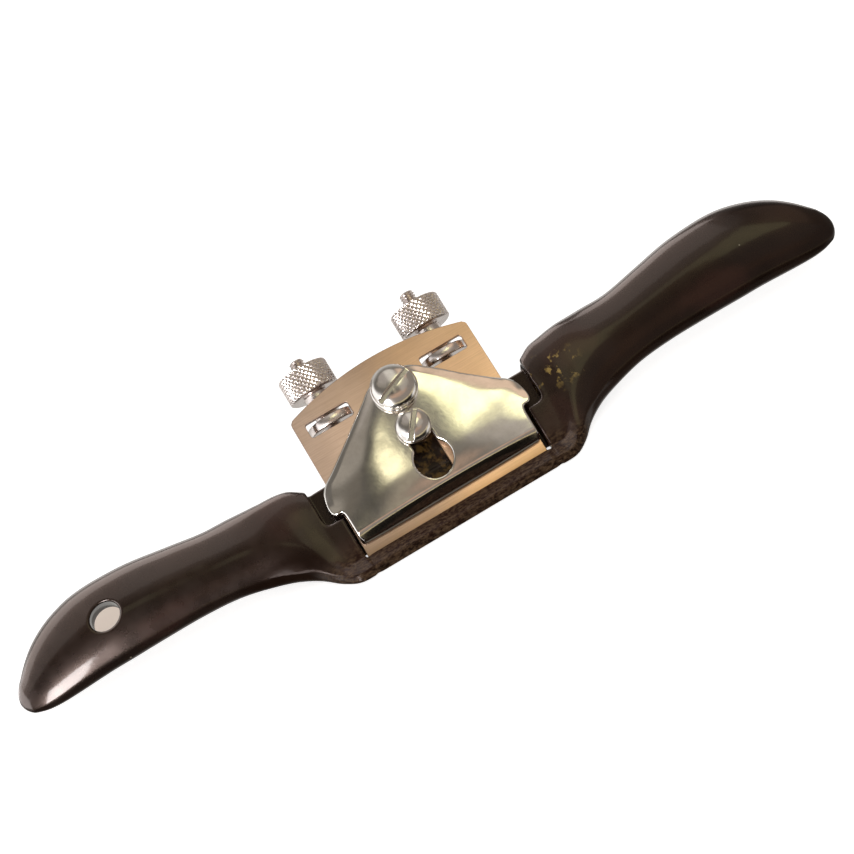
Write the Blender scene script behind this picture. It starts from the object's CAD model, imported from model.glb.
# A spokeshave: an enamelled casting with a handle at each side, a cutter on a bed at 45
# degrees, a pressed lever cap, two slotted screws, and two knurled nuts on threaded studs.
#
# Meshes are built in millimetres and stored in metres. World: X along the handles, Z up from
# the sole, -Y front. Bed frame: (x, up, off), with up measured up the bed and off measured
# off its face; the bed leans back and meets the sole at y = BED_Y.
import copy
import math
from itertools import product

import bmesh
import bpy
import numpy as np
from mathutils import Euler, Matrix, Vector


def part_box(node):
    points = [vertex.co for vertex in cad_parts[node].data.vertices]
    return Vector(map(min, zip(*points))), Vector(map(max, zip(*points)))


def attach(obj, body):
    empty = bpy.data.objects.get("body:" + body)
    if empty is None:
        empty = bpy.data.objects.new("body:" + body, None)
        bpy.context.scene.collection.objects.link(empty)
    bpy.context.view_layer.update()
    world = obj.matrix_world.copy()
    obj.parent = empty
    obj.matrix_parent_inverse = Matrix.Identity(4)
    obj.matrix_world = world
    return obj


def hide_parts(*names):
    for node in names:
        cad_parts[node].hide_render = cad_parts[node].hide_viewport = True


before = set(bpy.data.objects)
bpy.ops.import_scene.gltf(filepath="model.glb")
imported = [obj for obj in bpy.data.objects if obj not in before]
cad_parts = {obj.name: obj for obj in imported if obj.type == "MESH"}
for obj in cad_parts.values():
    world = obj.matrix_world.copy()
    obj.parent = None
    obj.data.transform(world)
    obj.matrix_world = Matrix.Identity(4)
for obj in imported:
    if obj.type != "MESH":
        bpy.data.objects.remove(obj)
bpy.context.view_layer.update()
MM = 1000.0         # millimetres in a metre
C45 = math.sqrt(0.5)
BED_Y = -10.0


# ============================ Frames and placing ============================
def mid_x(node):
    low, high = (np.array(corner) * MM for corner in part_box(node))
    return float((low[0] + high[0]) / 2)


def to_bed(points):
    """World points as (up, off)."""
    back = points[..., 1] - BED_Y
    return (back + points[..., 2]) * C45, (points[..., 2] - back) * C45


def to_world(x, up, off):
    x, up, off = np.broadcast_arrays(x, up, off)
    return np.stack([x, BED_Y + (up - off) * C45, (up + off) * C45], -1)


def bed_yz(up, off):
    return to_world(0.0, up, off)[1:]


def highest_up(node):
    """How far up the bed a CAD node reaches."""
    points = np.array([vertex.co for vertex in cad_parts[node].data.vertices]) * MM
    return float(to_bed(points)[0].max())


def place(ob, node, body):
    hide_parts(node)
    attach(ob, body)
    return ob


STUD_XS = (mid_x("nut_left"), mid_x("nut_right"))
STUD_OFF = -4.0                 # stud and nut axes, below the face of the bed
STUD_BORE = 2.165
FLANGE_UP = 36.3                # middle of the nut flanges and of the cutter's notches
CAP_SCREW = (mid_x("cap_screw"), 21.9)          # x, up
THUMB_SCREW = (mid_x("thumb_screw"), 33.3)
SCREW_BORE = 2.97


# ============================ Meshes from fields ============================
def new_object(name, verts, quads, normals=None, smooth=True):
    mesh = bpy.data.meshes.new(name)
    verts = np.asarray(verts, np.float32) / MM
    quads = np.asarray(quads, np.int32)
    mesh.vertices.add(len(verts))
    mesh.vertices.foreach_set("co", verts.ravel())
    mesh.loops.add(quads.size)
    mesh.loops.foreach_set("vertex_index", quads.ravel())
    mesh.polygons.add(len(quads))
    mesh.polygons.foreach_set("loop_start", np.arange(len(quads), dtype=np.int32) * 4)
    mesh.polygons.foreach_set("loop_total", np.full(len(quads), 4, np.int32))
    mesh.update(calc_edges=True)
    mesh.validate()
    if smooth:
        mesh.polygons.foreach_set("use_smooth", np.ones(len(mesh.polygons), bool))
    if normals is not None:
        mesh.normals_split_custom_set_from_vertices(np.asarray(normals, np.float32).tolist())
    ob = bpy.data.objects.new(name, mesh)
    bpy.context.scene.collection.objects.link(ob)
    return ob


def grid_values(field, axes, points_at_once=400000):
    """The field at every grid point, a few x planes at a time."""
    values = np.empty([len(axis) for axis in axes], np.float32)
    y, z = np.meshgrid(axes[1], axes[2], indexing="ij")
    planes = max(1, int(points_at_once / y.size))
    for start in range(0, len(axes[0]), planes):
        x = axes[0][start:start + planes]
        points = np.empty((len(x), *y.shape, 3))
        points[..., 0] = x[:, None, None]
        points[..., 1] = y
        points[..., 2] = z
        found = field(points.reshape(-1, 3))
        values[start:start + planes] = found.reshape(points.shape[:3])
    return values


def mean_crossings(values, cells):
    """Mean point where the surface cuts the edges of each cell, in cell units."""
    corners = {}
    for corner in product((0, 1), repeat=3):
        corners[corner] = values[tuple((cells + corner).T)].astype(float)
    total = np.zeros(cells.shape)
    count = np.zeros(len(cells))
    for axis in range(3):
        for others in product((0, 1), repeat=2):
            start, end = list(others), list(others)
            start.insert(axis, 0)
            end.insert(axis, 1)
            first, last = corners[tuple(start)], corners[tuple(end)]
            cut = (first < 0) != (last < 0)
            point = np.tile(np.array(start, float), (len(cells), 1))
            point[:, axis] = np.where(cut, first / np.where(cut, first - last, 1), 0)
            total[cut] += point[cut]
            count[cut] += 1
    return total / np.maximum(count, 1)[:, None]


def net_quads(inside, index):
    """A quad round every grid edge that the surface cuts, facing outwards."""
    quads = []
    for axis in range(3):
        near, far = [slice(1, -1)] * 3, [slice(1, -1)] * 3
        near[axis], far[axis] = slice(0, -1), slice(1, None)
        starts = inside[tuple(near)]
        edges = np.argwhere(starts != inside[tuple(far)])
        outward = starts[tuple(edges.T)]
        if axis == 1:
            outward = ~outward
        first, second = [i for i in range(3) if i != axis]
        ring = []
        for shift_first, shift_second in ((0, 0), (1, 0), (1, 1), (0, 1)):
            cell = edges.copy()
            cell[:, first] += shift_first
            cell[:, second] += shift_second
            ring.append(index[tuple(cell.T)])
        ring = np.stack(ring, 1)
        ring[~outward] = ring[~outward][:, ::-1]
        quads.append(ring)
    return np.concatenate(quads)


def gradient(field, points, reach):
    slope = np.empty_like(points)
    for i in range(3):
        shift = np.zeros(3)
        shift[i] = reach
        slope[:, i] = (field(points + shift) - field(points - shift)) / (2 * reach)
    return slope


def surface_net(field, low, high, cell):
    """Mesh of field = 0 (negative inside), with vertices pulled exactly onto the surface."""
    low = np.asarray(low, float)
    counts = np.ceil((np.asarray(high, float) - low) / cell).astype(int) + 1
    axes = [low[i] + cell * np.arange(counts[i]) for i in range(3)]
    values = grid_values(field, axes)
    inside = values < 0
    count = np.zeros(counts - 1, np.uint8)
    for i, j, k in product((0, 1), repeat=3):
        count += inside[i:counts[0] - 1 + i, j:counts[1] - 1 + j, k:counts[2] - 1 + k]
    active = (count > 0) & (count < 8)
    cells = np.argwhere(active)
    index = np.full(counts - 1, -1, np.int32)
    index[active] = np.arange(len(cells))
    verts = low + (cells + mean_crossings(values, cells)) * cell
    for _ in range(3):
        slope = gradient(field, verts, 0.02)
        squared = np.maximum((slope ** 2).sum(1), 1e-6)
        move = -(field(verts) / squared)[:, None] * slope
        length = np.linalg.norm(move, axis=1)
        move *= np.minimum(1, 0.6 * cell / np.maximum(length, 1e-9))[:, None]
        verts = verts + move
    slope = gradient(field, verts, 0.05)
    normals = slope / np.maximum(np.linalg.norm(slope, axis=1), 1e-9)[:, None]
    return verts, net_quads(inside, index), normals


def bed_object(name, field, low, high, cell, x=0.0, up=0.0):
    """Object from a field in the bed frame, measured from (x, up)."""
    verts, quads, normals = surface_net(field, low, high, cell)
    normals = np.stack([normals[:, 0], (normals[:, 1] - normals[:, 2]) * C45,
                        (normals[:, 1] + normals[:, 2]) * C45], -1)
    return new_object(name, to_world(verts[:, 0] + x, verts[:, 1] + up, verts[:, 2]),
                      quads, normals)


# ---- Distances in millimetres, negative inside ----
def smin(a, b, blend):
    """Union of two shapes, filleted over the blend distance."""
    overlap = np.maximum(blend - np.abs(a - b), 0) / blend
    return np.minimum(a, b) - overlap * overlap * blend * 0.25


def smax(a, b, blend):
    """Intersection of two shapes, with the edge rounded."""
    return -smin(-a, -b, blend)


def between(value, low, high):
    return np.maximum(low - value, value - high)


def rise(value, start, end):
    """0 at the start, 1 at the end, straight between."""
    return np.clip((value - start) / (end - start), 0, 1)


def ease(t):
    return t * t * (3 - 2 * t)


def hermite(t, start, start_slope, end, end_slope):
    return ((2 * t ** 3 - 3 * t ** 2 + 1) * start + (t ** 3 - 2 * t ** 2 + t) * start_slope
            + (-2 * t ** 3 + 3 * t ** 2) * end + (t ** 3 - t ** 2) * end_slope)


def polygon_distance(x, y, outline):
    """Exact distance to a closed polygon."""
    outline = np.asarray(outline, float)
    squared = np.full(x.shape, 1e18)
    inside = np.zeros(x.shape, bool)
    for start, end in zip(outline, np.roll(outline, -1, 0)):
        edge_x, edge_y = end - start
        from_x, from_y = x - start[0], y - start[1]
        length = edge_x * edge_x + edge_y * edge_y
        t = np.clip((from_x * edge_x + from_y * edge_y) / length, 0, 1)
        gap_x, gap_y = from_x - edge_x * t, from_y - edge_y * t
        squared = np.minimum(squared, gap_x * gap_x + gap_y * gap_y)
        spans = (start[1] <= y) != (end[1] <= y)
        crossing = start[0] + (y - start[1]) * edge_x / (edge_y if edge_y != 0 else 1e-12)
        inside ^= spans & (x < crossing)
    distance = np.sqrt(squared)
    return np.where(inside, -distance, distance)


def blur(values, sigma, axis, wrap=False):
    reach = int(math.ceil(3 * sigma))
    kernel = np.exp(-0.5 * (np.arange(-reach, reach + 1) / sigma) ** 2)
    kernel /= kernel.sum()
    values = np.moveaxis(values, axis, 0)
    if wrap:
        before, after = values[-reach:], values[:reach]
    else:
        before, after = np.repeat(values[:1], reach, 0), np.repeat(values[-1:], reach, 0)
    padded = np.concatenate([before, values, after])
    out = sum(weight * padded[i:i + len(values)] for i, weight in enumerate(kernel))
    return np.moveaxis(out, 0, axis)


class Table:
    """A plane field sampled on a fine grid and read back bilinearly."""
    def __init__(self, field, x_range, y_range, step):
        self.x_start, self.y_start, self.step = x_range[0], y_range[0], step
        xs = np.arange(x_range[0], x_range[1] + step, step)
        ys = np.arange(y_range[0], y_range[1] + step, step)
        self.values = field(*np.meshgrid(xs, ys, indexing="ij"))

    def __call__(self, x, y):
        values = self.values
        x = np.clip((x - self.x_start) / self.step, 0, values.shape[0] - 1.001)
        y = np.clip((y - self.y_start) / self.step, 0, values.shape[1] - 1.001)
        i, j = x.astype(int), y.astype(int)
        x, y = x - i, y - j
        return (values[i, j] * (1 - x) * (1 - y) + values[i + 1, j] * x * (1 - y)
                + values[i, j + 1] * (1 - x) * y + values[i + 1, j + 1] * x * y)

    def smoothed(self, sigma):
        self.values = blur(blur(self.values, sigma, 0), sigma, 1)
        return self

    def levelness(self):
        """Table of the cosine of the field's slope, read as a height."""
        slope_x, slope_y = np.gradient(self.values, self.step)
        table = copy.copy(self)
        table.values = 1 / np.sqrt(1 + slope_x ** 2 + slope_y ** 2)
        return table


def polygon_table(outline, **grid):
    return Table(lambda x, y: polygon_distance(x, y, outline), **grid)


# ============================ Body casting: handles ============================
# Each handle is a loft of eight-point rings (up, off) at distances from the middle.
# Side 1 is the right (+X), side -1 the left.
# Inner rings: x, up of points 0, 1 and 7 on the left, then the whole ring on the right.
INNER_RINGS = [
    (27, (21.6, 20.4, 21), [[22.2, -1.5], [21.0, 3.3], [-0.42, 4.7], [-4.45, 8.3],
                            [-6.6, 5.85], [1.5, -6.0], [12, -9.6], [21, -6.4]]),
    (33, (21.9, 20.8, 21.6), [[23.1, -1.4], [21.9, 3.3], [-0.3, 4.75], [-4.4, 7.9],
                              [-6.2, 5.7], [1.5, -6.0], [12, -9.2], [21.6, -6.2]]),
    (37, (24.8, 23.4, 23.5), [[25.6, -1.2], [24.1, 3.2], [5.0, 4.8], [-1.7, 5.5],
                              [-3.9, 3.6], [2.6, -5.0], [13, -8.0], [23.5, -5.6]]),
    (41, (26.3, 24.6, 24.6), [[27.0, -1.1], [25.1, 3.2], [11.5, 4.6], [2.3, 4.4],
                              [-0.1, 1.4], [4.2, -5.0], [14, -7.2], [24.9, -5.3]]),
    (46, (26.8, 25.0, 24.9), [[27.9, -1.0], [25.9, 3.0], [14.0, 4.4], [4.9, 3.2],
                              [3.2, -0.6], [6.0, -4.8], [15.6, -6.5], [25.6, -5.0]])]
# Oval rings: x, lowest up, then (left, right) for highest up, front off and back off.
OVAL_RINGS = [
    (54, 6.0, (27.7, 28.2), (3.9, 3.9), (-5.9, -5.9)),
    (62, 7.8, (28.1, 28.1), (3.8, 3.8), (-5.8, -5.8)),
    (72, 8.6, (29.7, 29.7), (4.0, 4.0), (-6.0, -6.0)),
    (83, 8.7, (31.6, 31.6), (4.2, 4.3), (-6.3, -6.3)),
    (94, 8.6, (32.4, 32.4), (4.2, 4.4), (-6.5, -6.5)),
    (100, 8.6, (32.1, 32.1), (3.9, 4.2), (-6.5, -6.5)),
    (105, 8.4, (31.0, 31.0), (3.5, 3.9), (-6.4, -6.4)),
    (110, 8.2, (29.2, 29.2), (2.9, 3.4), (-6.1, -6.1)),
    (115, 8.1, (26.4, 26.4), (2.1, 2.7), (-5.5, -5.5)),
    (119, 8.4, (23.1, 23.1), (1.2, 1.8), (-4.7, -4.7)),
    (122, 9.2, (19.9, 19.9), (0.3, 0.8), (-3.8, -3.7)),
    (124.4, 10.2, (17.4, 17.4), (-0.5, -0.2), (-3.1, -2.8))]
# Shift up the bed along each handle (x, shift), and each ring point's share of it.
SKEW = {-1: ([70, 85, 97, 125], [0, -.25, -.6, -.8]),
        1: ([50, 72, 85, 125], [0, .35, .55, .35])}
SKEW_SHARE = np.array([1, .85, .4, 0, 0, 0, .4, .85])
RING_XS = np.array([row[0] for row in INNER_RINGS + OVAL_RINGS], float)

LOFT_START, LOFT_END, LOFT_STEP = 26.0, 125.2, 0.3
LOFT_ANGLES = 540
HANDLE_ROOT, HANDLE_TIP = 27.0, 125.05
TIP_ROUND_START = 122.6


def oval(low, top, front, back):
    mid_up, half_up = (low + top) / 2, (top - low) / 2
    mid_off, half_off = (front + back) / 2, (front - back) / 2
    return [[mid_up + half_up, mid_off],
            [mid_up + .78 * half_up, mid_off + .66 * half_off],
            [mid_up, front],
            [mid_up - .78 * half_up, mid_off + .68 * half_off],
            [mid_up - half_up, mid_off],
            [mid_up - .78 * half_up, mid_off - .68 * half_off],
            [mid_up, back],
            [mid_up + .78 * half_up, mid_off - .66 * half_off]]


def side_rings(side):
    rings = []
    for _, left_ups, ring in INNER_RINGS:
        ring = np.array(ring, float)
        if side < 0:
            ring[[0, 1, 7], 0] = left_ups
        rings.append(ring)
    column = 0 if side < 0 else 1
    for _, low, *pairs in OVAL_RINGS:
        rings.append(oval(low, *(pair[column] for pair in pairs)))
    return np.array(rings)


def ring_at(x, side, rings):
    """The eight ring points at a distance x from the middle."""
    last_ring = len(RING_XS) - 1
    i = int(np.clip(np.searchsorted(RING_XS, x, side="right") - 1, 0, last_ring - 1))
    before, after = max(0, i - 1), min(last_ring, i + 2)
    start, end = RING_XS[i], RING_XS[i + 1]
    start_slope = (rings[i + 1] - rings[before]) / (end - RING_XS[before]) * (end - start)
    end_slope = (rings[after] - rings[i]) / (RING_XS[after] - start) * (end - start)
    t = (x - start) / (end - start)
    points = hermite(t, rings[i], start_slope, rings[i + 1], end_slope)
    points[:, 0] += np.interp(x, *SKEW[side]) * SKEW_SHARE
    return points


def ring_curve(x, points):
    """Closed curve through the ring points; points 2 and 3 are corners near the middle."""
    corner = np.zeros(8)
    corner[2] = 1 - rise(x, 33, 38)
    corner[3] = 1 - rise(x, 41, 55)
    curve = []
    for i in range(8):
        before, start, end, after = (points[(i + k) % 8] for k in (-1, 0, 1, 2))
        sharp, next_sharp = corner[i], corner[(i + 1) % 8]
        start_slope = (1 - sharp) * (end - before) / 2 + sharp * (end - start)
        end_slope = (1 - next_sharp) * (after - start) / 2 + next_sharp * (end - start)
        for t in np.arange(0, 1, 1 / 40):
            curve.append(hermite(t, start, start_slope, end, end_slope))
    return np.array(curve)


def handle_table(side):
    """Radii by angle and centres (up, off) for every step along a handle."""
    rings = side_rings(side)
    xs = np.arange(LOFT_START, LOFT_END + LOFT_STEP, LOFT_STEP)
    angles = np.arange(LOFT_ANGLES) * 2 * math.pi / LOFT_ANGLES
    radii = np.zeros((len(xs), LOFT_ANGLES))
    centres = np.zeros((len(xs), 2))
    for k, x in enumerate(xs):
        points = ring_at(min(max(x, RING_XS[0]), RING_XS[-1]), side, rings)
        # near the middle, radii are measured from a point low in the ring
        share = ease(rise(x, 33, 46))
        middle = np.array([(points[0, 0] + points[4, 0]) / 2, (points[2, 1] + points[6, 1]) / 2])
        centre = share * middle + (1 - share) * np.array([1.0, 0.3])
        spokes = ring_curve(x, points) - centre
        angle = np.unwrap(np.arctan2(spokes[:, 1], spokes[:, 0]))
        radius = np.hypot(spokes[:, 0], spokes[:, 1])
        order = np.argsort(angle)
        angle, radius = angle[order], radius[order]
        turns = np.concatenate([angle - 2 * math.pi, angle, angle + 2 * math.pi])
        radii[k] = np.interp(angles, turns, np.concatenate([radius] * 3))
        centres[k] = centre
    radii = blur(blur(radii, 2.1, 0), 0.7, 1, wrap=True)
    t = rise(xs, TIP_ROUND_START, HANDLE_TIP)
    radii *= np.sqrt(np.maximum(1e-4, 1 - t ** 2))[:, None]
    return radii, blur(centres, 2.9, 0)


HANDLES = {side: handle_table(side) for side in (-1, 1)}


def handle_field(x, up, off, side):
    radii, centres = HANDLES[side]
    out = x * side
    t = np.clip((out - LOFT_START) / LOFT_STEP, 0, len(radii) - 1.001)
    i = t.astype(int)
    t = t - i
    centre = centres[i] * (1 - t)[:, None] + centres[i + 1] * t[:, None]
    from_up, from_off = up - centre[:, 0], off - centre[:, 1]
    distance = np.hypot(from_up, from_off)
    turn = (np.arctan2(from_off, from_up) % (2 * math.pi)) * LOFT_ANGLES / (2 * math.pi)
    j = turn.astype(int) % LOFT_ANGLES
    turn = turn - np.floor(turn)
    k = (j + 1) % LOFT_ANGLES
    radius = ((radii[i, j] * (1 - turn) + radii[i, k] * turn) * (1 - t)
              + (radii[i + 1, j] * (1 - turn) + radii[i + 1, k] * turn) * t)
    field = np.maximum(distance - radius, HANDLE_ROOT - out)
    return np.where(out > HANDLE_TIP, np.hypot(out - HANDLE_TIP, distance), field)


# ============================ Body casting: middle ============================
# Section (y, z) of the block behind the bed.
BACK_BLOCK = [[BED_Y + 0.5, -1], [12, -1], [12, 1.9], [11.2, 2.7], [8.6, 3.2], [6.9, 4.4],
              bed_yz(16.8, -7.0), bed_yz(21.1, -6.4), bed_yz(22.1, -5.4), bed_yz(22.1, 1),
              bed_yz(-0.6, 1)]
# Section (y, z) of the low bar across the front.
BAR_BACK, BAR_FRONT = BED_Y - 3.9, BED_Y - 9.6
FRONT_BAR = [[BAR_FRONT, -1], [BAR_BACK, -1], [BAR_BACK, 2.7], [BED_Y - 4.5, 2.95],
             [BED_Y - 8.6, 2.8], [BED_Y - 9.25, 2.5], [BAR_FRONT, 1.9]]
# Outline (x, up) of the crown at the top of the bed.
CROWN = [[-26, 18], [26, 18], [25.2, 24], [23.4, 27.4], [21.6, 28.3],
         [-21.6, 28.3], [-23.4, 27.4], [-25.2, 24]]
SECTION = dict(x_range=(-32, 24), y_range=(-5, 34))
BLOCK_TABLE = polygon_table(BACK_BLOCK, **SECTION, step=0.2)
BAR_TABLE = polygon_table(FRONT_BAR, **SECTION, step=0.1)
CROWN_TABLE = polygon_table(CROWN, x_range=(-45, 45), y_range=(-15, 45), step=0.25)

MIDDLE_REACH = 48               # the middle's shapes stay inside this distance
MIDDLE_HALF = 31.5              # half the width of the block and the bar
CROWN_OFF = (-6.4, 1)
BOSS_RADIUS, BOSS_SINK, BOSS_UP = 4.7, 0.3, (13, 31)
SCREW_BOSS_RADIUS, SCREW_BOSS_OFF = 5.6, (-9.4, 0.5)
BED_FACE = -0.15                # floor of the pocket, off the bed
POCKET_HALF, POCKET_TOP = 28.3, 13
CORNER_HALF, CORNER_LOW = 33.3, 11.4
LEDGE_OUT, LEDGE_LOW = (27.2, 32.9), 21.9
BORE_LOW = 18.5                 # the stud bores start here
BAR_TAPER_START, BAR_TAPER = 26.5, 0.9

# elliptical hole through the left handle
HANG_X, HANG_UP = -94.6, 21.2
HANG_RADII = (4.35, 3.45)
HANG_TURN = math.radians(15)
HANG_REACH = (-105, -84)


def add_bosses(field, x, y, z, up, off):
    """Join the block, the crown and the three bosses to the handles."""
    block = smax(BLOCK_TABLE(y, z), np.abs(x) - MIDDLE_HALF, 2.0)
    crown = smax(CROWN_TABLE(x, up), between(off, *CROWN_OFF), 1.2)
    field = smin(field, block, 2.2)
    field = smin(field, crown, 1.6)
    for stud_x in STUD_XS:
        round_ = np.hypot(x - stud_x, off - (STUD_OFF - BOSS_SINK)) - BOSS_RADIUS
        field = smin(field, smax(round_, between(up, *BOSS_UP), 1.0), 1.4)
    round_ = np.hypot(x - CAP_SCREW[0], up - CAP_SCREW[1]) - SCREW_BOSS_RADIUS
    return smin(field, smax(round_, between(off, *SCREW_BOSS_OFF), 1.0), 1.4)


def cut_bed(field, out, up, off):
    """Cut the cutter's pocket, the scoops at its lower corners and the side ledges."""
    pocket = smax(smax(out - POCKET_HALF, up - POCKET_TOP, 0.6), BED_FACE - off, 0.5)
    field = smax(field, -pocket, 0.7)
    corner = smax(out - CORNER_HALF, CORNER_LOW - up, 2.4)
    field = smax(field, -smax(corner, BED_FACE - off, 0.5), 0.7)
    ledge = smax(between(out, *LEDGE_OUT), LEDGE_LOW - up, 0.6)
    return smax(field, -ledge, 0.6)


def middle_field(field, x, y, z, up, off):
    out = np.abs(x)
    field = add_bosses(field, x, y, z, up, off)
    field = cut_bed(field, out, up, off)
    taper = BAR_TAPER * rise(out, BAR_TAPER_START, MIDDLE_HALF)
    field = smin(field, smax(BAR_TABLE(y, z) + taper, out - MIDDLE_HALF, 0.8), 0.8)
    for stud_x in STUD_XS:
        bore = np.hypot(x - stud_x, off - STUD_OFF) - STUD_BORE
        field = smax(field, -np.maximum(bore, BORE_LOW - up), 0.25)
    bore = np.hypot(x - CAP_SCREW[0], up - CAP_SCREW[1]) - SCREW_BORE
    return smax(field, -bore, 0.35)


def hang_hole(x, up):
    from_x, from_up = x - HANG_X, up - HANG_UP
    cos, sin = math.cos(HANG_TURN), math.sin(HANG_TURN)
    along, across = from_x * cos + from_up * sin, -from_x * sin + from_up * cos
    scaled = np.hypot(along / HANG_RADII[0], across / HANG_RADII[1])
    return (scaled - 1) * np.hypot(along, across) / np.maximum(scaled, 1e-6)


def casting_field(points):
    x, y, z = points.T
    up, off = to_bed(points)
    field = np.where(x >= 0, handle_field(x, up, off, 1), handle_field(x, up, off, -1))
    near = np.abs(x) < MIDDLE_REACH
    field[near] = middle_field(field[near], x[near], y[near], z[near], up[near], off[near])
    near = (x > HANG_REACH[0]) & (x < HANG_REACH[1])
    field[near] = smax(field[near], -hang_hole(x[near], up[near]), 0.9)
    return smax(field, -z, 0.5)


def make_casting():
    verts, quads, normals = surface_net(
        casting_field, low=[-126.4, -21.4, -1.0], high=[126.4, 17.5, 26.0],
        cell=0.42)
    ob = new_object("body_casting_skin", verts, quads, normals)
    return place(ob, "body_casting", "body")


casting = make_casting()

# ============================ Cutter ============================
CUTTER_X = mid_x("cutter")
EDGE_UP = -1.9                          # the cutting edge
EDGE_HALF, TOP_HALF = 27.4, 27.0        # half widths at the edge and at the top corners
CORNER_UP, ARCH_UP, ARCH_STEPS = 40.85, 45.3, 60
# right top corner: (in from the side, down from the corner)
CORNER = [(0, 1.1), (0.05, 0.7), (0.22, 0.35), (0.5, 0.1)]
ARCH_INSET = 0.9
CUTTER_UNDER, CUTTER_TOP = 0.1, 2.0     # faces, off the bed
EDGE_ROUND = 0.14
NOTCH_XS, NOTCH_HALF_X, NOTCH_HALF_UP = (-17.5, 17.5), 6.45, 2.05
GRIND_LENGTH = 4.2


def rounded_rect(left, right, low, top, radius, steps=5):
    points = []
    for x, y, start in ((right - radius, low + radius, -90), (right - radius, top - radius, 0),
                        (left + radius, top - radius, 90), (left + radius, low + radius, 180)):
        for i in range(steps + 1):
            angle = math.radians(start + 90 * i / steps)
            points.append((x + radius * math.cos(angle), y + radius * math.sin(angle)))
    return points


def cutter_outline():
    """Straight edge, slightly tapered sides, and an arched top."""
    corner = [(TOP_HALF - inward, CORNER_UP - down) for inward, down in CORNER]
    outline = [(-EDGE_HALF, EDGE_UP), (EDGE_HALF, EDGE_UP)] + corner
    for i in range(ARCH_STEPS + 1):
        x = (TOP_HALF - ARCH_INSET) * (1 - 2 * i / ARCH_STEPS)
        outline.append((x, ARCH_UP - (ARCH_UP - CORNER_UP) * (x / TOP_HALF) ** 2))
    return outline + [(-x, up) for x, up in reversed(corner)]


def rounded_plate(name, rings, thickness, rounding):
    """Bmesh of a flat plate with rounded edges: an outline, then its holes."""
    curve = bpy.data.curves.new(name, "CURVE")
    curve.dimensions = "2D"
    curve.fill_mode = "BOTH"
    curve.extrude = thickness / 2 - rounding
    curve.bevel_depth = rounding
    curve.bevel_resolution = 2
    curve.offset = -rounding
    for ring in rings:
        spline = curve.splines.new("POLY")
        spline.points.add(len(ring) - 1)
        for point, (x, y) in zip(spline.points, ring):
            point.co = (x, y, 0, 1)
        spline.use_cyclic_u = True
    ob = bpy.data.objects.new(name, curve)
    bpy.context.scene.collection.objects.link(ob)
    bpy.context.view_layer.update()
    depsgraph = bpy.context.evaluated_depsgraph_get()
    mesh = bpy.data.meshes.new_from_object(ob.evaluated_get(depsgraph))
    bpy.data.objects.remove(ob)
    plate = bmesh.new()
    plate.from_mesh(mesh)
    bmesh.ops.remove_doubles(plate, verts=plate.verts, dist=1e-4)
    return plate


def grind_edge(plate):
    """Cut the bevel on the underside, up to the cutting edge."""
    edge = Vector((0, EDGE_UP - 0.02, CUTTER_TOP - 0.05))
    heel = Vector((0, EDGE_UP + GRIND_LENGTH, CUTTER_UNDER))
    along = (heel - edge).normalized()
    bmesh.ops.bisect_plane(
        plate, geom=plate.verts[:] + plate.edges[:] + plate.faces[:], plane_co=heel,
        plane_no=Vector((0, along.z, -along.y)), clear_outer=True, dist=1e-5)
    rim = [edge for edge in plate.edges if edge.is_boundary]
    bmesh.ops.holes_fill(plate, edges=rim, sides=0)
    bmesh.ops.recalc_face_normals(plate, faces=plate.faces)


def make_cutter():
    notches = [rounded_rect(x - NOTCH_HALF_X, x + NOTCH_HALF_X, FLANGE_UP - NOTCH_HALF_UP,
                            FLANGE_UP + NOTCH_HALF_UP, radius=0.7) for x in NOTCH_XS]
    slot = rounded_rect(left=-4.75, right=4.15, low=5.2, top=28.6, radius=4.44, steps=12)
    plate = rounded_plate("cutter_c", [cutter_outline(), *notches, slot],
                          CUTTER_TOP - CUTTER_UNDER, EDGE_ROUND)
    for vertex in plate.verts:
        vertex.co.z += (CUTTER_UNDER + CUTTER_TOP) / 2
    grind_edge(plate)
    mesh = bpy.data.meshes.new("cutter_plate")
    plate.to_mesh(mesh)
    plate.free()
    points = np.zeros(len(mesh.vertices) * 3)
    mesh.vertices.foreach_get("co", points)
    x, up, off = points.reshape(-1, 3).T
    mesh.vertices.foreach_set("co", (to_world(x + CUTTER_X, up, off) / MM).ravel())
    mesh.update()
    mesh.polygons.foreach_set("use_smooth", np.ones(len(mesh.polygons), bool))
    mesh.set_sharp_from_angle(angle=math.radians(7))
    ob = bpy.data.objects.new("cutter_plate", mesh)
    bpy.context.scene.collection.objects.link(ob)
    return place(ob, "cutter", "cutter")


cutter = make_cutter()

# ============================ Lever cap ============================
# A pressed sheet, crowned, with its sides rolled down and its lip folded.
# Right half of the outline (x, up), from the lip to the top.
CAP_HALF = [
    [25.9, 2.15], [26.7, 2.35], [27.15, 2.9], [27.25, 4.0], [27.3, 8.5], [27.4, 11.2],
    [27.6, 12.0], [27.9, 12.4], [28.9, 12.5], [29.7, 12.8], [30.25, 13.5], [30.5, 14.6],
    [30.45, 16.6], [29.9, 18.6], [28.8, 20.3], [27.5, 21.55], [26.3, 22.35], [24.6, 23.5],
    [22.7, 24.9], [20.3, 26.65], [17.8, 28.5], [15.6, 30.25], [13.4, 32.0], [11.35, 33.6],
    [9.5, 35.0], [7.8, 36.4], [6.3, 37.3], [4.7, 38.0], [3.1, 38.4], [1.5, 38.55]]
CAP_LEAN = ([0, 22, 28, 34, 44], [0, 0, 0.55, 1.25, 1.35])      # up, shift to the right
CAP_GRID = dict(x_range=(-34, 34), y_range=(0, 44), step=0.12)
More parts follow.
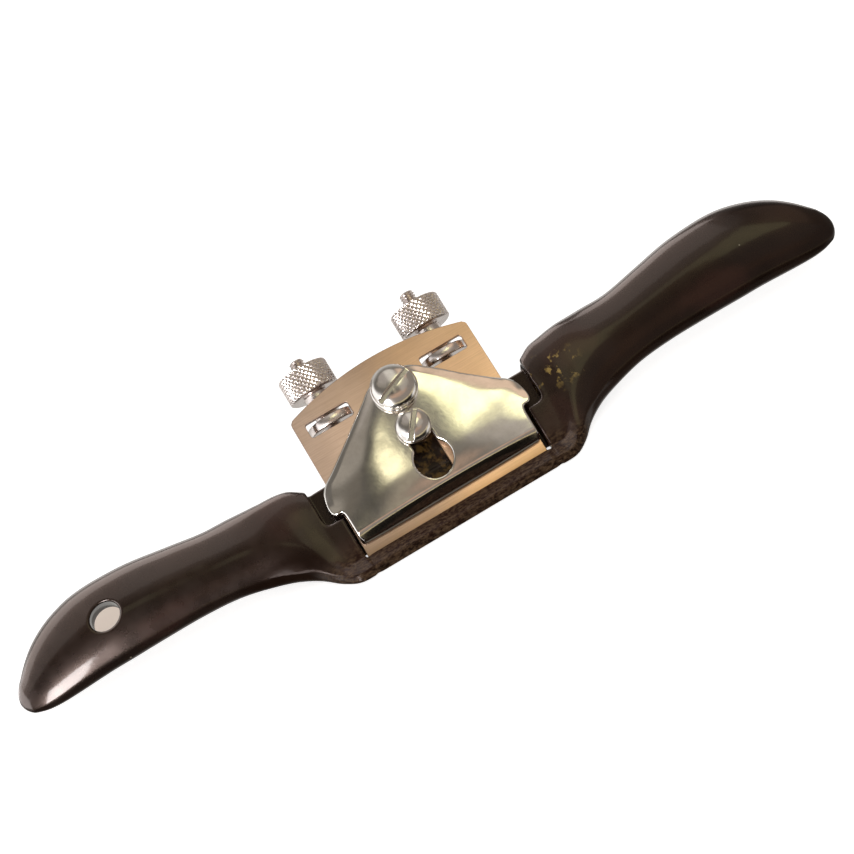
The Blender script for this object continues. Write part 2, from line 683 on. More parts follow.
# Height of the centre line off the bed, and the drop from it at the sides: up, value.
RIDGE = ([-5, 5.2, 9, 12, 16, 20.5, 27, 40], [5.95, 6.25, 7.0, 7.45, 7.82, 8.07, 8.1, 7.55])
DROP = ([-5, 4, 8, 12, 16, 20, 26, 34, 45], [0.9, 1.1, 1.7, 2.5, 3.0, 3.3, 4.3, 5.0, 5.2])
DROP_SPAN = 870.0               # squared half width at which the drop is measured
SHEET = 2.0                     # thickness
KEY_X, KEY_UP, KEY_RADIUS, KEY_SLOT_HALF = 0.05, 12.2, 5.2, 3.4


def smooth_ring(points, steps=6):
    """Centripetal curve through a closed ring of points."""
    points = np.array(points, float)
    count = len(points)
    out = []
    for i in range(count):
        before, start, end, after = (points[(i + k) % count] for k in (-1, 0, 1, 2))
        span0, span1, span2 = (
            max(np.linalg.norm(far - near), 1e-6) ** .5
            for near, far in ((before, start), (start, end), (end, after)))
        start_slope = span1 * ((start - before) / span0 - (end - before) / (span0 + span1)
                               + (end - start) / span1)
        end_slope = span1 * ((end - start) / span1 - (after - start) / (span1 + span2)
                             + (after - end) / span2)
        for t in np.arange(0, 1, 1 / steps):
            out.append(hermite(t, start, start_slope, end, end_slope))
    return np.array(out)


def cap_outline():
    outline = smooth_ring(CAP_HALF + [[-x, up] for x, up in CAP_HALF[::-1]])
    outline[:, 0] += np.interp(outline[:, 1], *CAP_LEAN)
    return outline


CAP_EDGE = polygon_table(cap_outline(), **CAP_GRID)
PROFILE_UP = np.arange(-5, 50, 0.1)
RIDGE_PROFILE = blur(np.interp(PROFILE_UP, *RIDGE), 14, 0)
DROP_PROFILE = blur(np.interp(PROFILE_UP, *DROP), 16, 0)


def cap_crown(x, up):
    drop = np.interp(up, PROFILE_UP, DROP_PROFILE)
    return np.interp(up, PROFILE_UP, RIDGE_PROFILE) - drop * (x * x / DROP_SPAN)


def above_shoulders(up):
    return ease(rise(up, 13.5, 17.5))


def shoulder_sag(x, up, width=9.5, depth=0.62):
    """Gentle fall of the face over a wide band along the edge."""
    return above_shoulders(up) * depth * np.clip((width + CAP_EDGE(x, up)) / width, 0, 1.1) ** 2


SAG = Table(shoulder_sag, **CAP_GRID).smoothed(13)


def cap_face(x, up, width=2.2, depth=0.46):
    """Crowned face with the sag, and a tighter bend along its edge."""
    bend = np.clip((width + CAP_EDGE(x, up)) / width, 0, 1.6) ** 1.3
    return cap_crown(x, up) - SAG(x, up) - depth * above_shoulders(up) * bend


def lip_plane(x, up, low_up, low_off, fold_up, sink, beyond):
    """Slope from the lip's low edge to the fold, running on a little past both."""
    t = np.clip((up - low_up) / (fold_up - low_up), -0.3, beyond)
    return low_off + (cap_crown(x, fold_up) - sink - low_off) * t


def cap_top(x, up):
    lip = lip_plane(x, up, low_up=1.7, low_off=2.9, fold_up=5.6, sink=0, beyond=1.3)
    return smin(cap_face(x, up), lip + 0.1, 0.45)


def cap_under(x, up):
    lip = lip_plane(x, up, low_up=2.5, low_off=2.25, fold_up=6.7, sink=SHEET, beyond=1.5)
    return np.maximum(smin(cap_face(x, up) - SHEET, lip, 0.5), 2.2)


CAP_TOP = Table(cap_top, **CAP_GRID).smoothed(1.6)
CAP_UNDER = Table(cap_under, **CAP_GRID).smoothed(2.0)
TOP_LEVEL, UNDER_LEVEL = CAP_TOP.levelness(), CAP_UNDER.levelness()


def keyhole(x, up):
    hole = np.hypot(x - KEY_X, up - KEY_UP) - KEY_RADIUS
    slot = np.maximum(np.abs(x) - KEY_SLOT_HALF, KEY_UP - up)
    slot_end = np.hypot(x, up - CAP_SCREW[1]) - KEY_SLOT_HALF
    return smin(hole, np.where(up > CAP_SCREW[1], slot_end, slot), 0.4)


def cap_field(points):
    x, up, off = points.T
    top = (off - CAP_TOP(x, up)) * TOP_LEVEL(x, up)
    under = (CAP_UNDER(x, up) - off) * UNDER_LEVEL(x, up)
    field = smax(top, under, 0.3)
    # the lip's edge is rounder
    field = smax(field, CAP_EDGE(x, up), 0.6 + 0.9 * np.clip((4.2 - up) / 1.5, 0, 1))
    field = smax(field, -keyhole(x, up), 0.6)
    bore = np.hypot(x - THUMB_SCREW[0], up - THUMB_SCREW[1]) - SCREW_BORE
    return smax(field, -bore, 0.3)


cap = bed_object("lever_cap_sheet", cap_field, low=[-31.6, 1.1, 1.4], high=[31.6, 41.0, 9.2],
                 cell=0.24)
place(cap, "lever_cap", "lever_cap")

# ============================ Slotted screws ============================
SHANK, DOME_HEIGHT, SLOT_WIDTH = 2.9, 2.75, 1.25


def dome(radius, base):
    return [[radius * math.cos(angle), base + DOME_HEIGHT * math.sin(angle)]
            for angle in np.linspace(0, math.pi / 2, 16)]


# Profiles (radius, off), from the foot of the shank to the top of the head.
CAP_SCREW_PROFILE = [[SHANK, -8.5], [SHANK, 8.75], [4.55, 8.75], [4.8, 9.0]] + dome(4.8, 9.5)
THUMB_SCREW_PROFILE = [
    [SHANK, 2.3], [SHANK, 8.1], [6.15, 8.1], [6.4, 8.35], [6.4, 9.5], [6.15, 9.75],
    [5.95, 9.8], [5.95, 9.95], [6.1, 10.05]] + dome(6.1, 10.4)


def make_screw(node, centre, profile, slot_angle, slot_floor):
    profile = np.array(profile, float)
    # the section is closed past the axis
    section = np.concatenate([profile, [[-1.0, profile[-1, 1]], [-1.0, profile[0, 1]]]])
    widest, foot, top = profile[:, 0].max(), profile[:, 1].min(), profile[:, 1].max()
    table = polygon_table(section, x_range=(-0.5, widest + 1), y_range=(foot - 1, top + 1),
                          step=0.05).smoothed(2.0)
    cos, sin = math.cos(math.radians(slot_angle)), math.sin(math.radians(slot_angle))

    def field(points):
        x, y, off = points.T
        across = np.abs(-x * sin + y * cos) - SLOT_WIDTH / 2
        slot = smax(across, slot_floor - off, 0.15)
        return smax(table(np.hypot(x, y), off), -slot, 0.22)
    margin = 0.4
    ob = bed_object(node + "_head", field,
                    low=[-widest - margin, -widest - margin, foot - margin],
                    high=[widest + margin, widest + margin, top + margin],
                    cell=0.16, x=centre[0], up=centre[1])
    return place(ob, node, node)


cap_screw = make_screw("cap_screw", CAP_SCREW, CAP_SCREW_PROFILE,
                       slot_angle=52.5, slot_floor=10.5)
thumb_screw = make_screw("thumb_screw", THUMB_SCREW, THUMB_SCREW_PROFILE,
                         slot_angle=21.6, slot_floor=11.2)


# ============================ Threaded studs and knurled nuts ============================
def revolve(name, rows, columns, centre_x, worked_radius, sharp_angle, closed=False):
    """Turn rows of (up, radius) about a stud axis; worked_radius cuts the thread or knurl."""
    rows = np.array(rows, float)
    shape = (len(rows), columns)
    angle = np.broadcast_to(np.arange(columns) * 2 * math.pi / columns, shape)
    up = np.broadcast_to(rows[:, :1], shape)
    radius = worked_radius(angle, up, np.broadcast_to(rows[:, 1:], shape))
    verts = to_world(centre_x + radius * np.cos(angle), up, STUD_OFF + radius * np.sin(angle))
    near = np.arange(up.size).reshape(shape)
    far = np.roll(near, -1, 0)
    if not closed:
        near, far = near[:-1], far[:-1]
    quads = np.stack([near, np.roll(near, -1, 1), np.roll(far, -1, 1), far], -1).reshape(-1, 4)
    ob = new_object(name, verts.reshape(-1, 3), quads[:, ::-1])
    ob.data.set_sharp_from_angle(angle=math.radians(sharp_angle))
    return ob


PITCH, THREAD_RADIUS, THREAD_DEPTH = 0.8, 2.1, 0.42
STUD_FOOT = 19.6


def make_stud(node, centre_x):
    tip = highest_up(node)
    rows = [(STUD_FOOT, 0.0), (STUD_FOOT, 1.2), (STUD_FOOT + 0.4, THREAD_RADIUS)]
    rows += [(up, THREAD_RADIUS) for up in
             np.arange(STUD_FOOT + 0.5, tip - 0.55, PITCH / (9))]
    rows += [(tip - 0.5 + 0.5 * t, THREAD_RADIUS - 0.55 * t ** 1.5)
             for t in np.linspace(0, 1, 6)]
    rows += [(tip, 1.0), (tip, 0.0)]

    def thread(angle, up, radius):
        """Right-hand thread, fading out at the tip."""
        phase = (up / PITCH + angle / (2 * math.pi)) % 1.0
        crest = np.clip((np.abs(phase - 0.5) * 2 - 0.12) / 0.76, 0, 1)
        fade = np.clip((tip - 0.1 - up) / 0.5, 0, 1)
        return np.where(radius > 1.5, radius - THREAD_DEPTH * (1 - crest) * fade, radius)
    ob = revolve(node + "_thread", rows, 48, centre_x, thread, sharp_angle=50)
    return place(ob, node, "body")


KNURL_RADIUS, KNURL_LOW, KNURL_TOP = 7.2, 45.3, 52.8
KNURL_COUNT, KNURL_DEPTH = 30, 0.42
FLANGE_HALF, FLANGE_RADIUS, NECK_RADIUS = 1.25, 7.0, 3.55


def zigzag(phase):
    """1 at the groove, 0 at the crest."""
    return np.abs((phase / (2 * math.pi)) % 1.0 - 0.5) * 2


def knurl(angle, up, radius):
    """Diamond knurl on the rim of the head, fading out at both ends."""
    twist = (up - KNURL_LOW) / KNURL_RADIUS
    groove = np.maximum(zigzag(KNURL_COUNT * (angle + twist)),
                        zigzag(KNURL_COUNT * (angle - twist)))
    groove = np.clip((groove - 0.22) / 0.78, 0, 1)
    band = (np.clip((up - (KNURL_LOW + 0.35)) / 0.4, 0, 1)
            * np.clip((KNURL_TOP - 0.02 - up) / 0.3, 0, 1) * (radius > 6.3))
    return radius - KNURL_DEPTH * groove * band


def nut_rows():
    """Closed section (up, radius): flange, neck, knurled head, then back down the bore."""
    low, top = FLANGE_UP - FLANGE_HALF, FLANGE_UP + FLANGE_HALF
    quarter = np.linspace(0, 1, 5)[1:] * math.pi / 2
    rows = [(low + 0.25, STUD_BORE), (low, STUD_BORE + 0.3), (low, 5.2), (low, 6.6),
            (low + 0.08, 6.85), (low + 0.3, FLANGE_RADIUS), (FLANGE_UP, FLANGE_RADIUS),
            (top - 0.3, FLANGE_RADIUS), (top - 0.08, 6.85), (top, 6.6), (top, 3.9),
            (top + 0.1, 3.65), (top + 0.35, NECK_RADIUS)]
    rows += [(up, NECK_RADIUS) for up in np.linspace(top + 0.8, KNURL_LOW - 0.5, 6)]
    rows += [(KNURL_LOW - 0.12, 3.6), (KNURL_LOW, 3.8), (KNURL_LOW, 5.0), (KNURL_LOW, 6.1),
             (KNURL_LOW + 0.08, 6.4)]
    rows += [(KNURL_LOW + 0.08 + 0.62 * t, 6.4 + 0.8 * math.sin(t * math.pi / 2))
             for t in np.linspace(0, 1, 5)[1:]]
    rows += [(up, KNURL_RADIUS) for up in
             np.arange(KNURL_LOW + 0.8, KNURL_TOP - 0.35, 0.115)]
    rows += [(KNURL_TOP - 0.35 + 0.35 * math.sin(angle),
              KNURL_RADIUS - 0.45 * (1 - math.cos(angle))) for angle in quarter]
    rows += [(KNURL_TOP, 6.3), (KNURL_TOP, 4.5), (KNURL_TOP, 3.0), (KNURL_TOP - 0.05, 2.75),
             (KNURL_TOP - 0.5, STUD_BORE)]
    return rows + [(up, STUD_BORE) for up in (50, 44, 38)]


def make_nut(node, centre_x):
    ob = revolve(node + "_knurled", nut_rows(), 390, centre_x, knurl,
                 sharp_angle=38, closed=True)
    return place(ob, node, node)


studs = [make_stud(node, x) for node, x in zip(("stud_left", "stud_right"), STUD_XS)]
nuts = [make_nut(node, x) for node, x in zip(("nut_left", "nut_right"), STUD_XS)]


# ============================ Shader nodes ============================
class NodeNet:
    """One shader tree. A node input takes a value or another node's output socket."""
    def __init__(self, tree):
        self.tree = tree
        tree.nodes.clear()

    def feed(self, socket, value):
        if isinstance(value, bpy.types.NodeSocket):
            self.tree.links.new(value, socket)
        elif socket.type == "RGBA":
            socket.default_value = (*value, 1)
        else:
            socket.default_value = value

    def set(self, node, inputs):
        for key, value in inputs.items():
            self.feed(node.inputs[key], value)

    def node(self, kind, inputs={}, **settings):
        node = self.tree.nodes.new("ShaderNode" + kind)
        for key, value in settings.items():
            setattr(node, key, value)
        self.set(node, inputs)
        return node

    def math(self, operation, *values):
        return self.node("Math", dict(enumerate(values)), operation=operation).outputs[0]

    def noise(self, vector, scale, detail, roughness=0.5):
        return self.node("TexNoise", {"Vector": vector, "Scale": scale, "Detail": detail,
                                      "Roughness": roughness}).outputs["Fac"]

    def mapping(self, vector, **inputs):
        inputs = {key.capitalize(): value for key, value in inputs.items()}
        return self.node("Mapping", {"Vector": vector, **inputs}).outputs[0]

    def bed_coords(self, vector, scale=(1.0, 1.0, 1.0)):
        """Object coordinates turned to the bed: y runs up it and z off it."""
        return self.mapping(vector, rotation=(-math.pi / 4, 0, 0), scale=scale)

    def map_range(self, value, start, end, low=0.0, high=1.0, **settings):
        return self.node("MapRange", {0: value, 1: start, 2: end, 3: low, 4: high},
                         **settings).outputs[0]

    def smooth_step(self, value, start, end):
        return self.map_range(value, start, end, interpolation_type="SMOOTHSTEP")

    def ramp(self, value, stops, interpolation="LINEAR"):
        node = self.node("ValToRGB", {0: value})
        node.color_ramp.interpolation = interpolation
        elements = node.color_ramp.elements
        while len(elements) < len(stops):
            elements.new(0.5)
        for element, (position, colour) in zip(elements, stops):
            element.position = position
            element.color = (*colour, 1)
        return node.outputs[0]

    def mask(self, value, start, end):
        """Ramp from black to white."""
        return self.ramp(value, [(start, BLACK), (end, WHITE)])

    def mix(self, factor, first, second, mode="MIX"):
        return self.node("Mix", {0: factor, 6: first, 7: second}, data_type="RGBA",
                         blend_type=mode).outputs[2]

    def multiply(self, first, second):
        return self.mix(1.0, first, second, "MULTIPLY")

    def paint(self, under, mask, where, colour):
        """Lay a colour over another where two masks meet."""
        return self.mix(self.math("MULTIPLY", mask, where), under, colour)

    def bump(self, height, strength, distance, **normal):
        return self.node("Bump", {"Height": height, "Strength": strength,
                                  "Distance": distance, **normal}).outputs[0]

    def blob(self, vector, centre, radii, soft=0.5, warp=None):
        """1 inside an ellipsoid (mm) about a point, fading to 0 at its rim."""
        scaled = self.node("Mapping", {
            "Vector": vector, "Location": tuple(c / MM for c in centre),
            "Scale": tuple(radius / MM for radius in radii)}, vector_type="TEXTURE").outputs[0]
        distance = self.node("VectorMath", {0: scaled}, operation="LENGTH").outputs["Value"]
        if warp is not None:
            distance = self.math("ADD", distance, self.math("MULTIPLY_ADD", warp, 1.2, -0.6))
        return self.smooth_step(distance, 1 + soft, 1 - soft)


BLACK, WHITE = (0, 0, 0), (1, 1, 1)


def new_material(name):
    """A material, its node net, its surface shader and its object coordinates."""
    material = bpy.data.materials.new(name)
    material.use_nodes = True
    net = NodeNet(material.node_tree)
    output = net.node("OutputMaterial")
    surface = net.node("BsdfPrincipled")
    net.feed(output.inputs[0], surface.outputs[0])
    return material, net, surface, net.node("TexCoord").outputs["Object"]


# ============================ Materials ============================
# brown stains in the enamel: centre, radii (mm)
STAINS = [((-81, -6, 11), (9, 5, 4)), ((88, -4.5, 13), (11, 5, 4.5)),
          ((46, 3, 16), (8, 5, 5)), ((-42, 3, 16), (6.5, 6, 6)), ((0, -16, 3), (34, 4, 3)),
          ((-30, -13, 4), (6, 7, 4)), ((34, -9, 6), (6, 6, 5))]
TURNED_SHIFT = 7.07     # taken from up to get y in the turned coordinates


def enamel_colour(net, coords, dull, bore):
    warp = net.noise(coords, 150.0, 4.0)
    colour = net.ramp(net.noise(coords, 55.0, 3.0),
                      [(0.35, (0.0056, 0.0025, 0.0015)), (0.65, (0.0110, 0.0050, 0.0028))])
    for centre, radii in STAINS:
        stain = net.blob(coords, centre, radii, 0.35, warp)
        colour = net.mix(stain, colour, (0.018, 0.0072, 0.0050))
    # thin, gilded enamel where it pooled under the blade and over the right cheek
    gold = net.mask(net.noise(coords, 340.0, 4.0, 0.6), 0.50, 0.62)
    where = net.blob(coords, (0.0, -1.5, 8.5), (7, 7, 7), 0.3)
    colour = net.paint(colour, gold, where, (0.17, 0.105, 0.028))
    stretched = net.bed_coords(coords, scale=(1.0, 0.48, 1.0))
    gold = net.mask(net.noise(stretched, 520.0, 3.0, 0.6), 0.575, 0.66)
    where = net.blob(coords, (40.5, 0.5, 13.5), (6.5, 5, 5), 0.5, warp)
    colour = net.paint(colour, gold, where, (0.27, 0.185, 0.055))
    # a few pale specks of dust
    cells = net.node("TexVoronoi", {"Vector": coords, "Scale": 95.0}).outputs["Distance"]
    specks = net.ramp(cells, [(0.014, WHITE), (0.030, BLACK)])
    kept = net.mask(net.noise(coords, 31.0, 1.0), 0.52, 0.56)
    colour = net.paint(colour, specks, kept, (0.20, 0.17, 0.13))
    # scuffs on the dull front
    stretched = net.mapping(coords, scale=(0.75, 1.5, 1.5))
    scuffs = net.mask(net.noise(stretched, 900.0, 5.0, 0.7), 0.42, 0.66)
    colour = net.paint(colour, scuffs, dull, (0.088, 0.055, 0.032))
    # the wall of the hang hole is paler
    return net.mix(bore, colour, (0.085, 0.064, 0.052))


def enamel_material():
    material, net, surface, coords = new_material("gloss_enamel")
    # the bar and the lower corners are handled bare and dull, and the hole's wall is matt
    dull = net.blob(coords, (0, -17, 2), (43, 9, 7), 0.25)
    bore = net.blob(net.bed_coords(coords), (HANG_X, HANG_UP - TURNED_SHIFT, -1.0),
                    (5.0, 4.1, 14), 0.05)
    colour = enamel_colour(net, coords, dull, bore)
    for patch in (bore, net.blob(coords, (-51, -9, 6), (13, 6, 6), 0.35)):
        dull = net.math("MAXIMUM", dull, patch)
    broad = net.bump(net.noise(coords, 90.0, 2.0), strength=0.10, distance=0.0004)
    normal = net.bump(net.noise(coords, 420.0, 2.0), strength=0.05, distance=0.0001,
                      Normal=broad)
    net.set(surface, {
        "Base Color": colour,
        "Roughness": net.map_range(net.noise(coords, 240.0, 4.0), 0.3, 0.7, 0.24, 0.32),
        "Normal": normal, "Coat Normal": normal,
        "Specular IOR Level": net.map_range(dull, 0.0, 1.0, 0.22, 0.03),
        "Specular Tint": (1.0, 0.77, 0.69),
        "Coat Weight": net.map_range(dull, 0.0, 1.0, 0.45, 0.03),
        "Coat Roughness": 0.09, "Coat IOR": 1.36})
    return material


def blade_colour(net, turned, grain):
    cloud = net.noise(turned, 70.0, 4.0)
    axes = net.node("SeparateXYZ", {0: turned}).outputs
    across = net.map_range(axes[0], -0.028, 0.028)
    tint = net.ramp(across, [(0.02, (0.50, 0.385, 0.32)), (0.35, (0.55, 0.41, 0.325)),
                             (0.68, (0.77, 0.53, 0.35)), (1.0, (0.88, 0.61, 0.385))], "EASE")
    streaks = net.ramp(grain, [(0.3, (0.80, 0.78, 0.76)), (0.7, (1.08, 1.06, 1.04))])
    clouds = net.ramp(cloud, [(0.3, (0.86, 0.84, 0.82)), (0.7, (1.04, 1.03, 1.02))])
    # darker towards the top, and at the two ends of the ground bevel
    fade = net.ramp(net.map_range(axes[1], 0.017, 0.040),
                    [(0.0, WHITE), (1.0, (0.61, 0.61, 0.63))])
    above_edge = net.map_range(axes[1], -0.009, -0.003)
    low = net.ramp(above_edge, [(0.0, (0.80, 0.72, 0.56)), (1.0, WHITE)])
    ends = net.ramp(across, [(0.12, (0.62, 0.61, 0.60)), (0.42, WHITE), (0.62, WHITE),
                             (0.90, (0.62, 0.63, 0.64))])
    low = net.multiply(low, net.mix(above_edge, ends, WHITE))
    colour = net.multiply(net.multiply(tint, streaks), clouds)
    return net.multiply(net.multiply(colour, fade), low)


def blade_material():
    material, net, surface, coords = new_material("ground_blade_steel")
    turned = net.bed_coords(coords)
    # grinding marks run along x
    grain = net.noise(net.mapping(turned, scale=(40, 1500, 1500)), 2.2, 6.0, 0.7)
    net.set(surface, {
        "Base Color": blade_colour(net, turned, grain), "Metallic": 1,
        "Roughness": net.map_range(grain, 0.3, 0.7, 0.30, 0.42), "Anisotropic": 0.5,
        "Normal": net.bump(grain, strength=0.3, distance=0.00004)})
    return material


def tarnish(net, coords, colour):
    """Cloudy tarnish on the cap, and the folded lip in its own shade."""
    cloud = net.noise(coords, 150.0, 7.0, 0.72)
    clouds = net.ramp(cloud, [(0.36, (0.90, 0.89, 0.88)), (0.56, WHITE)])
    axes = net.node("SeparateXYZ", {0: net.bed_coords(coords)}).outputs
    lip_shade = (0.55, 0.54, 0.56)
    lip = net.ramp(net.map_range(axes[1], -0.0052, -0.0017),
                   [(0.0, WHITE), (0.22, WHITE), (0.32, lip_shade), (0.66, lip_shade),
                    (1.0, WHITE)])
    return net.multiply(net.multiply(colour, clouds), lip)


def plated_material(name, base, clear_roughness, hazy_roughness, haze_scale, bump,
                    folded=False):
    material, net, surface, coords = new_material(name)
    haze = net.noise(coords, haze_scale, 5.0, 0.6)
    colour = net.ramp(haze, [(0.3, tuple(c * 0.88 for c in base)), (0.68, base)])
    if folded:
        colour = tarnish(net, coords, colour)
    net.set(surface, {
        "Base Color": colour, "Metallic": 1,
        "Roughness": net.map_range(haze, 0.3, 0.7, hazy_roughness, clear_roughness),
        "Normal": net.bump(net.noise(coords, haze_scale * 5, 3.0), bump, 0.00005)})
    return material


def dress():
    enamel = enamel_material()
    blade = blade_material()
    plated = plated_material("plated_cap", (0.86, 0.835, 0.785), clear_roughness=0.07,
                             hazy_roughness=0.16, haze_scale=160.0, bump=0.10, folded=True)
    hardware = plated_material("plated_hardware", (0.80, 0.77, 0.73), clear_roughness=0.12,
                               hazy_roughness=0.22, haze_scale=300.0, bump=0.08)
    knurled = plated_material("knurled_nickel", (0.78, 0.72, 0.69), clear_roughness=0.20,
                              hazy_roughness=0.30, haze_scale=300.0, bump=0.08)
    for material, objects in ((enamel, [casting]), (blade, [cutter]), (plated, [cap]),
                              (hardware, [cap_screw, thumb_screw]), (knurled, studs + nuts)):
        for ob in objects:
            ob.data.materials.append(material)


dress()


# ============================ Floor ============================
def floor_material():
    material, net, surface, coords = new_material("floor_white")
    white = (0.9, 0.9, 0.9)
    net.set(surface, {"Base Color": white, "Roughness": 0.9, "Emission Strength": 0.75})
    # the table is lit from all round, except where it is seen through the hang hole
    shade = net.blob(coords, (-95.6, 27.2, 0), (8.5, 7.5, 40), 0.25)
    net.set(surface, {"Emission Color": net.mix(shade, WHITE, (0.46, 0.38, 0.33)),
                      "Base Color": net.mix(shade, white, (0.60, 0.54, 0.48))})
    # one-sided, so that the sole can be looked at from below
    one_sided = net.node("MixShader", {
        0: net.node("NewGeometry").outputs["Backfacing"], 1: surface.outputs[0],
        2: net.node("BsdfTransparent").outputs[0]})
    output = net.tree.nodes["Material Output"]
    net.feed(output.inputs["Surface"], one_sided.outputs[0])
    return material


def make_floor(half=3000, height=-0.05):
    corners = [[-half, -half, height], [half, -half, height],
               [half, half, height], [-half, half, height]]
    ob = new_object("studio_floor", corners, [[0, 1, 2, 3]], smooth=False)
    ob.data.materials.append(floor_material())
    ob.visible_glossy = False


make_floor()

# ============================ World ============================
# What polished metal sees around it, as soft patches of light by direction, in degrees:
# azimuth 0 is the front (-Y), positive towards +X; elevation 0 is level; None is open.
# azimuth from, to, softness, elevation from, to, softness, colour, level
PATCHES = [
    # in front and below: dark bench edge
    (None, None, 5, None, -5, 5, (1.0, 0.80, 0.60), 0.012),
    # low on the left: table in the light
    (None, -46, 8, None, -4, 8, (1.0, 0.97, 0.94), 1.25),
    # low on the right
    (46, None, 8, None, -4, 8, (1.0, 0.97, 0.93), 1.0),
    # right: dim room
    (35, 150, 20, -8, 40, 10, (1.0, 0.88, 0.76), 0.28),
    # left: large white tent wall
    (-130, -50, 7, -2, 38, 7, (1.0, 0.98, 0.98), 1.4),
    # front, level: warm wall, a pink band over it, a gilt line under it
    (-38, 70, 8, 2, 30, 8, (1.0, 0.86, 0.76), 0.30),
    (-24, 34, 6, 24, 36, 3, (1.0, 0.68, 0.50), 0.55),
    (-50, 60, 10, -6, -1, 2, (1.0, 0.84, 0.50), 1.0),
    # left and high: grey
    (-62, -18, 3, 44, 58, 3, (1.0, 0.88, 0.74), 0.16),
    (-100, -14, 3, 58, 70, 3, (1.0, 0.90, 0.78), 0.34),
    # dark gap beside the lamp
    (-18, -7, 3, 36, 62, 3, (1.0, 0.92, 0.82), 0.08),
    # warm lamp patch about the middle, and its dimmer foot
    (-8, 1.5, 2, 49, 57.6, 1.6, (1.0, 0.92, 0.60), 1.6),
    (-5, 4, 2, 38, 48.5, 2, (1.0, 0.87, 0.66), 0.40),
    # dark gap, right of centre, and the dim stretch beyond
    (3, 17, 2, 38, 59, 1.5, (1.0, 0.90, 0.78), 0.20),
    (17, 62, 3, 30, 52, 3, (1.0, 0.90, 0.80), 0.46),
    # main lamp patches, right
    (18, 36, 2.5, 49.6, 66, 1.4, (1.0, 0.96, 0.58), 2.0),
    (34, 60, 2.5, 50.2, 66, 1.2, (1.0, 0.96, 0.58), 2.0),
    (8, 18, 2, 59.5, 66, 1.2, (1.0, 0.96, 0.66), 1.6),
    # tan wall, right
    (62, 112, 3, 40, 62, 4, (1.0, 0.74, 0.56), 0.85),
    # overhead
    (None, 0, 5, 67, None, 3, (1.0, 0.90, 0.82), 0.42),
    (0, None, 5, 67, None, 3, (1.0, 0.94, 0.86), 0.80)]
DEGREES = 57.29578      # in a radian


def studio_world():
    world = bpy.data.worlds.new("studio")
    bpy.context.scene.world = world
    world.use_nodes = True
    net = NodeNet(world.node_tree)
    output = net.node("OutputWorld")
    background = net.node("Background")
    net.feed(output.inputs[0], background.outputs[0])
    direction = net.node("TexCoord").outputs["Generated"]
    x, y, z = net.node("SeparateXYZ", {0: direction}).outputs
    front = net.math("MULTIPLY", y, -1.0)
    azimuth = net.math("MULTIPLY", net.math("ARCTAN2", x, front), DEGREES)
    elevation = net.math("MULTIPLY", net.math("ARCSINE", z), DEGREES)
    turn = net.math("ABSOLUTE", azimuth)

    def above(source, at, soft):
        return net.smooth_step(source, at - soft, at + soft)

    def below(source, at, soft):
        return net.math("SUBTRACT", 1.0, above(source, at, soft))

    def within(source, low, high, soft):
        """Masks for the bounds that are given."""
        masks = [] if low is None else [above(source, low, soft)]
        return masks if high is None else masks + [below(source, high, soft)]

    base = net.node("RGB").outputs[0]
    base.default_value = (0.16, 0.145, 0.13, 1)
    seen = base
    for left, right, az_soft, low, high, el_soft, colour, level in PATCHES:
        masks = within(azimuth, left, right, az_soft) + within(elevation, low, high, el_soft)
        mask = masks[0]
        for other in masks[1:]:
            mask = net.math("MULTIPLY", mask, other)
        seen = net.mix(mask, seen, tuple(channel * level for channel in colour))
    # behind the tool: the white sweep, bright below and level, fading upwards
    mask = net.math("MULTIPLY", above(turn, 128, 22), below(elevation, 48, 22))
    seen = net.mix(mask, seen, (0.62, 0.60, 0.57))
    # steeply down, except behind: the pale table
    mask = net.math("MULTIPLY", below(turn, 118, 16), below(elevation, -34, 6))
    seen = net.mix(mask, seen, (0.16, 0.14, 0.12))
    # plain light for matt surfaces, and white for the camera
    path = net.node("LightPath").outputs
    seen = net.mix(path["Is Diffuse Ray"], seen, (0.55, 0.53, 0.51))
    seen = net.mix(path["Is Camera Ray"], seen, WHITE)
    net.set(background, {0: seen, 1: 1.0})


studio_world()


# ============================ Lights ============================
def area(name, at, size, power, color, aim=None, yaw=0.0, only=None, sheen=False):
    """Area light in metres; with no aim it faces down, turned by yaw degrees."""
    light = bpy.data.lights.new(name, "AREA")
    light.energy = power
    light.color = color
    light.shape = "RECTANGLE"
    light.size, light.size_y = size
    ob = bpy.data.objects.new(name, light)
    bpy.context.scene.collection.objects.link(ob)
    ob.location = at
    ob.rotation_mode = "QUATERNION"
    if aim is None:
        ob.rotation_quaternion = Euler((0, 0, math.radians(yaw))).to_quaternion()
    else:
        ob.rotation_quaternion = (Vector(aim) - Vector(at)).to_track_quat("-Z", "Y")
    if only is not None:
        receivers = bpy.data.collections.new(name + "_on")
        receivers.objects.link(only)
        ob.light_linking.receiver_collection = receivers
    if sheen:                   # seen in the gloss, adds nothing to the matt colour
        ob.visible_diffuse = False


area("soft_left", at=(-0.166, -0.185, 0.056), aim=(-0.112, 0.0, 0.012), size=(0.064, 0.105),
     power=1.02, color=(1.0, 0.98, 0.98), sheen=True)
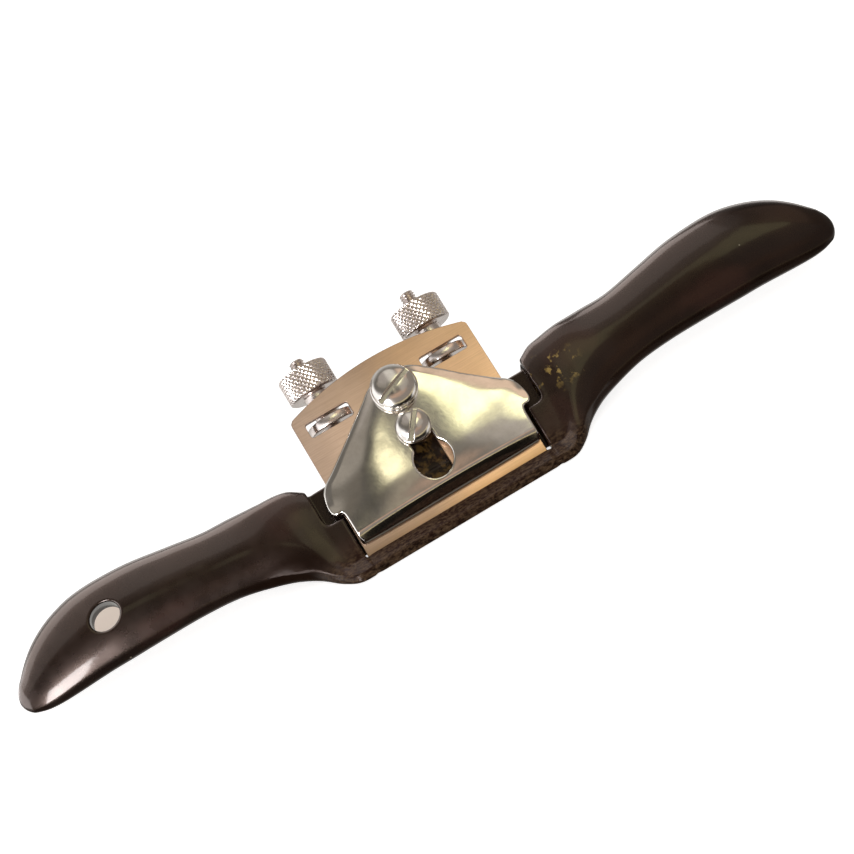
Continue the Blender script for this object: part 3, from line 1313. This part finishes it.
# behind and to the left: its broad sheen lies along the tops of the handles
area("skylight", at=(-0.30, 0.37, 0.62), yaw=14.0, size=(1.05, 0.62), power=15.0,
     color=(1.0, 0.93, 0.89), only=casting, sheen=True)
area("ceiling", at=(-0.38, 0.14, 0.62), yaw=14.0, size=(1.20, 0.80), power=4.2,
     color=(1.0, 0.92, 0.86), only=casting)
# the tent wall on the left and the white sweep behind, as the dark enamel shows them
area("tent", at=(-0.75, 0.0, 0.29), aim=(0.0, 0.0, 0.29), size=(1.26, 0.58), power=16.0,
     color=(1.0, 0.98, 0.98), only=casting, sheen=True)
area("sweep", at=(-0.30, 0.60, 0.18), aim=(-0.30, 0.0, 0.18), size=(2.4, 0.34), power=5.8,
     color=(1.0, 0.95, 0.91), only=casting, sheen=True)
area("blade_fill", at=(0.09, -0.44, 0.66), aim=(0, 0.0, 0.015), size=(0.45, 0.45), power=0.45,
     color=(1.0, 0.97, 0.95), only=cutter)

# ============================ Camera ============================
AZIMUTH, ELEVATION, ROLL = (math.radians(angle) for angle in (-5.781, 33.484, 27.416))
AIM = np.array([0, 2.0, 12.0])
DISTANCE = 800.0
SLIDE_RIGHT, SLIDE_UP = 0.51635, 5.601485       # in the picture plane


def make_camera():
    back = np.array([math.sin(AZIMUTH) * math.cos(ELEVATION),
                     -math.cos(AZIMUTH) * math.cos(ELEVATION), math.sin(ELEVATION)])
    level = np.array([math.cos(AZIMUTH), math.sin(AZIMUTH), 0.0])
    upright = np.cross(back, level)
    right = level * math.cos(ROLL) - upright * math.sin(ROLL)
    top = level * math.sin(ROLL) + upright * math.cos(ROLL)
    position = (AIM + back * DISTANCE + right * SLIDE_RIGHT + top * SLIDE_UP) / MM
    camera = bpy.data.cameras.new("camera")
    camera.sensor_width = 36.0
    camera.lens = 127.81488
    camera.clip_start = 0.01
    camera.clip_end = 20
    ob = bpy.data.objects.new("camera", camera)
    bpy.context.scene.collection.objects.link(ob)
    rows = np.stack([right, top, back, position], 1).tolist()
    ob.matrix_world = Matrix(rows + [[0, 0, 0, 1]])
    bpy.context.scene.camera = ob


make_camera()
bpy.context.scene.view_settings.view_transform = "Standard"
bpy.context.scene.view_settings.exposure = 0.0
